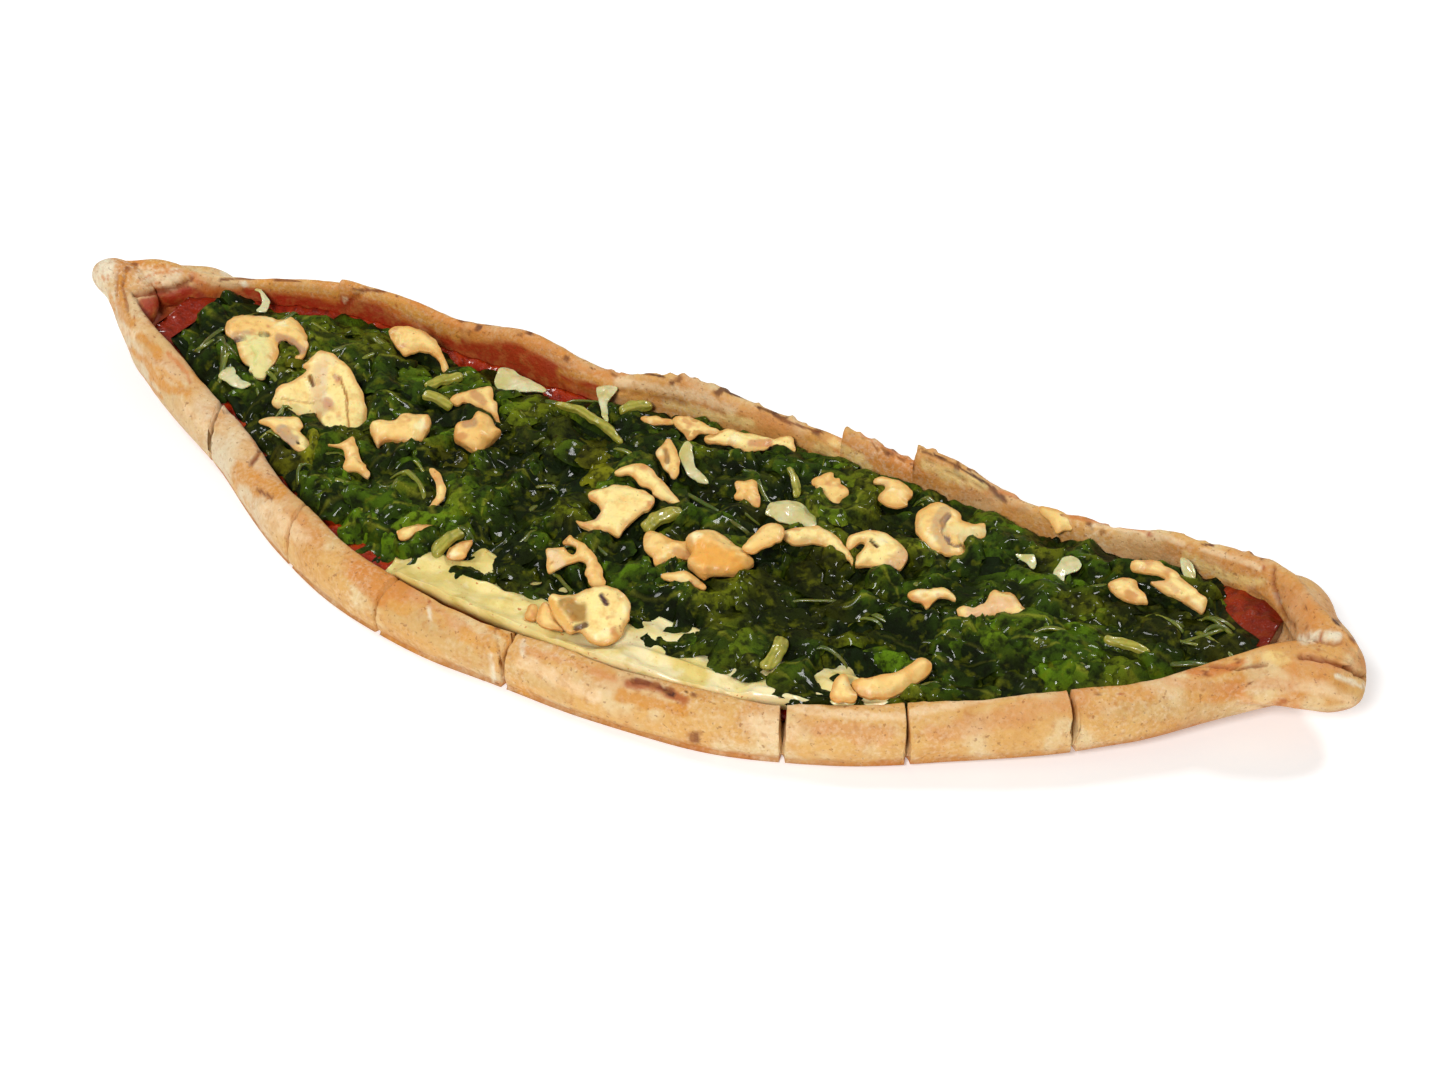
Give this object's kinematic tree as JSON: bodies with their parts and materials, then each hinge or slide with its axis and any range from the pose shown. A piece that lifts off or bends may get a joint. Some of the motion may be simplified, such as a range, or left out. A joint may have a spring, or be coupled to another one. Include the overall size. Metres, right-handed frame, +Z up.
{
  "type": "turkish pide",
  "caption": "Boat-shaped baked flatbread with a folded rim and pinched tips, filled with tomato sauce, cheese, wilted spinach and sliced mushrooms.",
  "frame": {"origin": "on the resting plane, under the middle of the bounding box", "axes": "+X along the boat from tip to tip, +Y towards the straighter side, +Z up"},
  "size_m": [0.4493, 0.1436, 0.0314],
  "materials": {
    "crust": "matt baked dough, floured in places, toasted and charred along the rim",
    "sauce": "glossy, lumpy tomato sauce",
    "cheese": "melted, softly glossy",
    "spinach": "wet, wrinkled, dark green",
    "mushroom": "cooked, moist, cream to tan with brown gills",
    "onion": "cooked, moist, partly translucent",
    "stalk": "cooked, moist, olive yellow"
  },
  "bodies": {
    "root": {"crust": "crust", "sauce": "sauce", "cheese": "cheese", "spinach": "spinach", "mushroom_1": "mushroom", "mushroom_2": "mushroom", "mushroom_3": "mushroom", "mushroom_4": "mushroom", "mushroom_5": "mushroom", "mushroom_6": "mushroom", "mushroom_7": "mushroom", "mushroom_8": "mushroom", "mushroom_9": "mushroom", "mushroom_10": "mushroom", "mushroom_11": "mushroom", "mushroom_12": "mushroom", "mushroom_13": "mushroom", "mushroom_14": "mushroom", "mushroom_15": "mushroom", "mushroom_16": "mushroom", "mushroom_17": "mushroom", "mushroom_18": "mushroom", "mushroom_19": "mushroom", "mushroom_20": "mushroom", "mushroom_21": "mushroom", "mushroom_22": "mushroom", "mushroom_23": "mushroom", "mushroom_24": "mushroom", "mushroom_25": "mushroom", "mushroom_26": "mushroom", "mushroom_27": "mushroom", "mushroom_28": "mushroom", "mushroom_29": "mushroom", "mushroom_30": "mushroom", "mushroom_31": "mushroom", "mushroom_32": "mushroom", "mushroom_33": "mushroom", "mushroom_34": "mushroom", "mushroom_35": "mushroom", "mushroom_36": "mushroom", "mushroom_37": "mushroom", "mushroom_38": "mushroom", "onion_1": "onion", "onion_2": "onion", "onion_3": "onion", "onion_4": "onion", "onion_5": "onion", "onion_6": "onion", "onion_7": "onion", "onion_8": "onion", "onion_9": "onion", "stalk_1": "stalk", "stalk_2": "stalk", "stalk_3": "stalk", "stalk_4": "stalk", "stalk_5": "stalk", "stalk_6": "stalk", "stalk_7": "stalk", "stalk_8": "stalk", "stalk_9": "stalk"}
  },
  "joints": []
}
